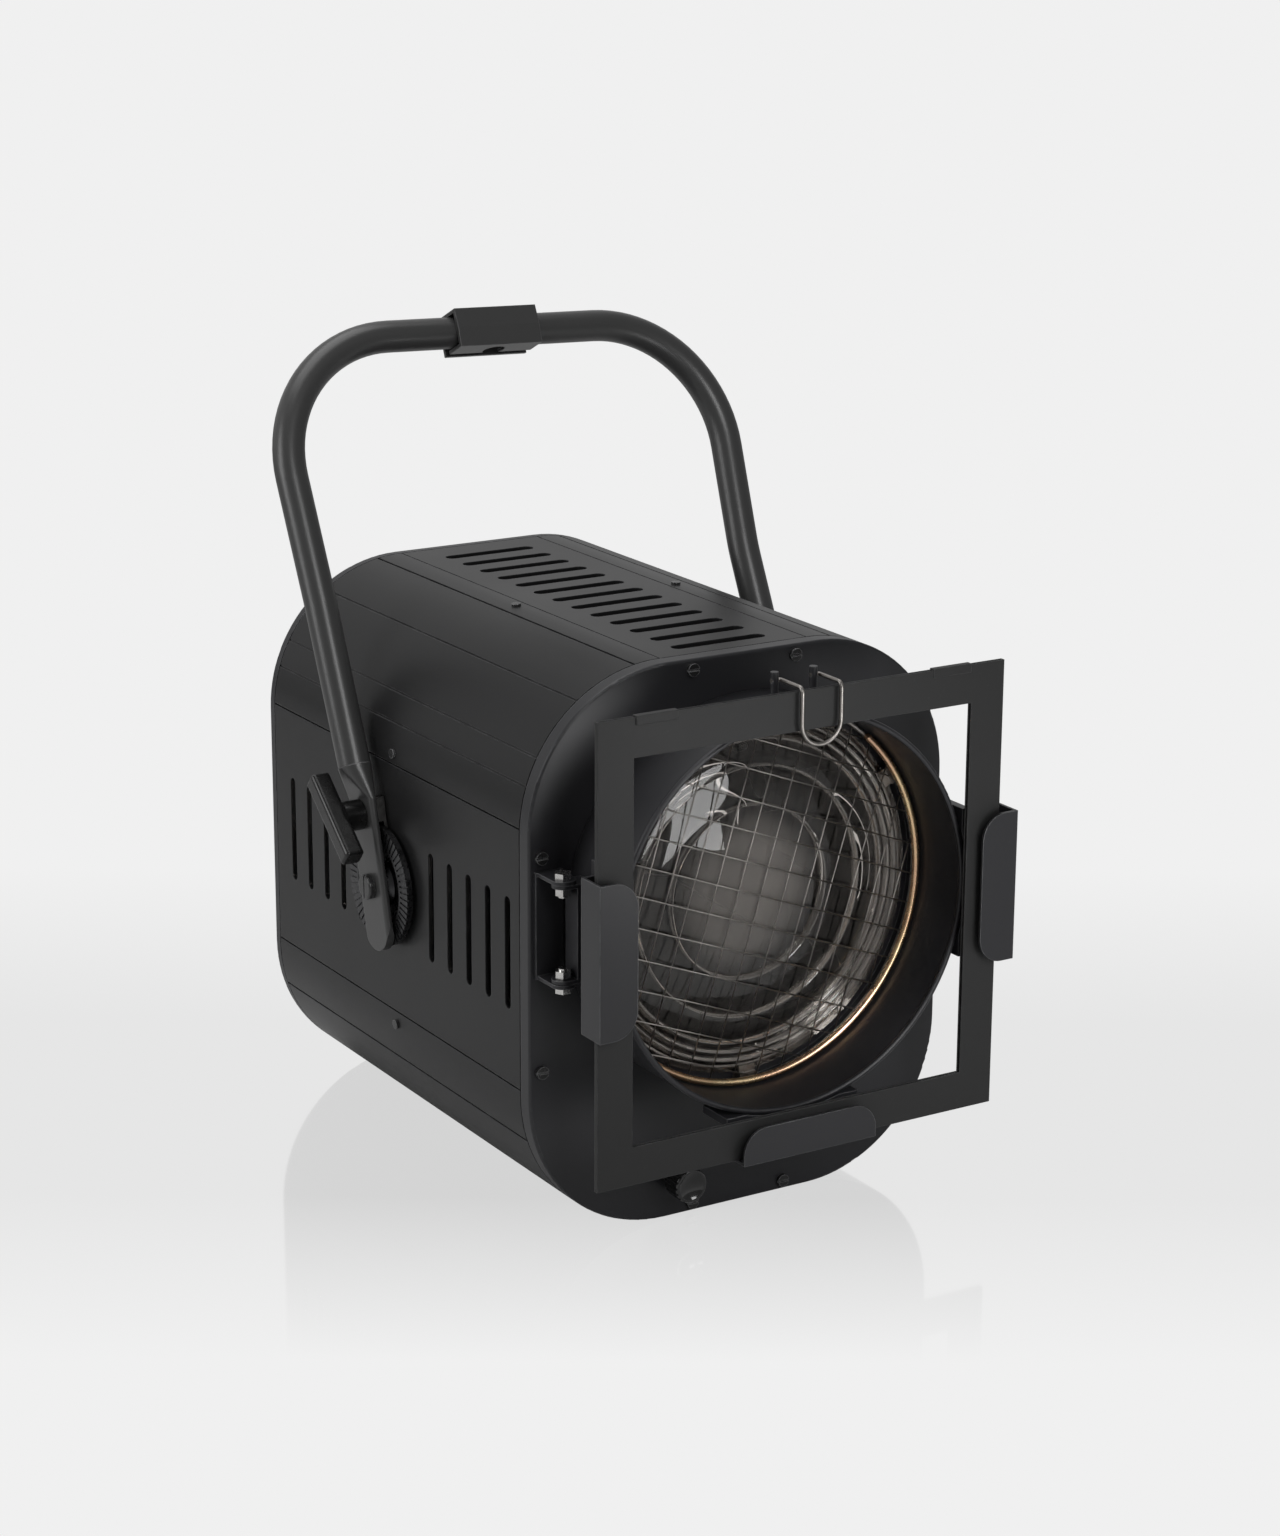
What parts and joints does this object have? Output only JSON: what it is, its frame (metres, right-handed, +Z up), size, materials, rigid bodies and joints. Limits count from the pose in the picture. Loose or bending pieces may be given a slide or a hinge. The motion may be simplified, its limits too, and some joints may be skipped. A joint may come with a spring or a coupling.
{
  "type": "fresnel spotlight",
  "caption": "Studio fresnel spotlight: slotted sheet-metal body, hinged lens door with wire guard, square colour frame in runners, and a bent-tube yoke with a toothed tilt clamp.",
  "frame": {"origin": "middle of the body's flat underside, which it rests on", "axes": "+Z up, +Y towards the rear plate with the cable gland, the lens looks along -Y, +X to the right as seen from in front"},
  "size_m": [0.3105, 0.3865, 0.4485],
  "materials": {
    "body_black": "satin black powder coat on extruded panels",
    "plate_black": "matte black powder coat on pressed sheet",
    "frame_black": "matte black powder coat",
    "yoke_black": "satin black powder coat",
    "screw_black": "black oxide",
    "plain_steel": "plain rolled steel",
    "zinc_steel": "bright zinc plate, worn at the teeth",
    "bright_steel": "bright turned steel",
    "wire_steel": "drawn stainless wire",
    "heated_steel": "spring steel tinted straw and copper by heat",
    "handle_black": "moulded black",
    "knob_black": "gloss black",
    "gland_black": "moulded black",
    "lens_glass": "pressed borosilicate glass with a stippled back",
    "quartz": "clear quartz",
    "ceramic": "unglazed ceramic",
    "mirror_metal": "polished anodised aluminium",
    "brass": "turned brass"
  },
  "bodies": {
    "housing": {"bottom_panel": "body_black", "cable_gland": "gland_black", "centre_hoop": "plain_steel", "corner_screws": "screw_black", "door_catch": "wire_steel", "earth_stud": "brass", "front_plate": "plate_black", "front_plate_screws": "screw_black", "front_rod_bearer": "plain_steel", "gland_nut": "gland_black", "guide_rods": "bright_steel", "hinge_bolts": "bright_steel", "hinge_bracket": "plate_black", "left_pivot_bolt": "screw_black", "left_pivot_plate": "plain_steel", "left_side_panel": "body_black", "left_tilt_disc": "zinc_steel", "lower_left_corner": "body_black", "lower_right_corner": "body_black", "rear_plate": "plate_black", "rear_plate_screws": "screw_black", "rear_rod_bearer": "plain_steel", "right_pivot_bolt": "screw_black", "right_pivot_plate": "plain_steel", "right_side_panel": "body_black", "right_tilt_disc": "zinc_steel", "spindle_bush": "screw_black", "terminal_block": "ceramic", "top_baffle": "plain_steel", "top_panel": "body_black", "upper_left_corner": "body_black", "upper_right_corner": "body_black"},
    "lens_door": {"lens_door_ring": "plate_black", "fresnel_lens": "lens_glass", "lens_retaining_ring": "heated_steel", "wire_guard": "wire_steel", "lens_clips": "wire_steel", "right_frame_runner": "plate_black", "lower_frame_runner": "plate_black", "left_frame_runner": "plate_black", "door_hinge_leaf": "plate_black", "door_catch_stud": "plate_black", "retainer_posts": "plate_black"},
    "color_frame_body": {"color_frame": "frame_black"},
    "frame_retainer": {"retainer_wire": "wire_steel"},
    "yoke": {"yoke_tube": "yoke_black", "hanging_bracket": "yoke_black", "clamp_jaw": "plain_steel"},
    "tilt_clamp": {"tilt_handle": "handle_black"},
    "focus_screw": {"focus_knob": "knob_black", "focus_spindle": "plain_steel"},
    "lamp_carriage": {"carriage_tray": "plain_steel", "spindle_nut": "brass", "lampholder": "ceramic", "lamp": "quartz", "reflector": "mirror_metal", "reflector_stay": "plain_steel"}
  },
  "joints": [
    {"name": "yoke_tilt", "type": "hinge", "parent": "housing", "child": "yoke", "pos_m": [0, 0.006, 0.157], "axis": [1, 0, 0], "range_deg": [-90, 75]},
    {"name": "tilt_clamp_turn", "type": "hinge", "parent": "yoke", "child": "tilt_clamp", "pos_m": [-0.14, 0.01589, 0.19524], "axis": [-1, 0, 0], "range_deg": [0, 360]},
    {"name": "door_swing", "type": "hinge", "parent": "housing", "child": "lens_door", "pos_m": [-0.1175, -0.1665, 0.1775], "axis": [0, 0, -1], "range_deg": [0, 110]},
    {"name": "color_frame_slide", "type": "slide", "parent": "lens_door", "child": "color_frame_body", "axis": [0, 0, 1], "range_m": [0, 0.26], "deforming": ["retainer_wire"]},
    {"name": "retainer_swing", "type": "hinge", "parent": "lens_door", "child": "frame_retainer", "pos_m": [0, -0.196, 0.3015], "axis": [-1, 0, 0], "range_deg": [0, 150]},
    {"name": "focus_turn", "type": "hinge", "parent": "housing", "child": "focus_screw", "pos_m": [-0.04, -0.15, 0.023], "axis": [0, 1, 0], "range_deg": [-1440, 1440]},
    {"name": "carriage_slide", "type": "slide", "parent": "housing", "child": "lamp_carriage", "axis": [0, 1, 0], "range_m": [-0.048, 0.048]}
  ],
  "couplings": [
    {"joint": "focus_turn", "follows": "carriage_slide", "rad_per_m": 523.6}
  ]
}
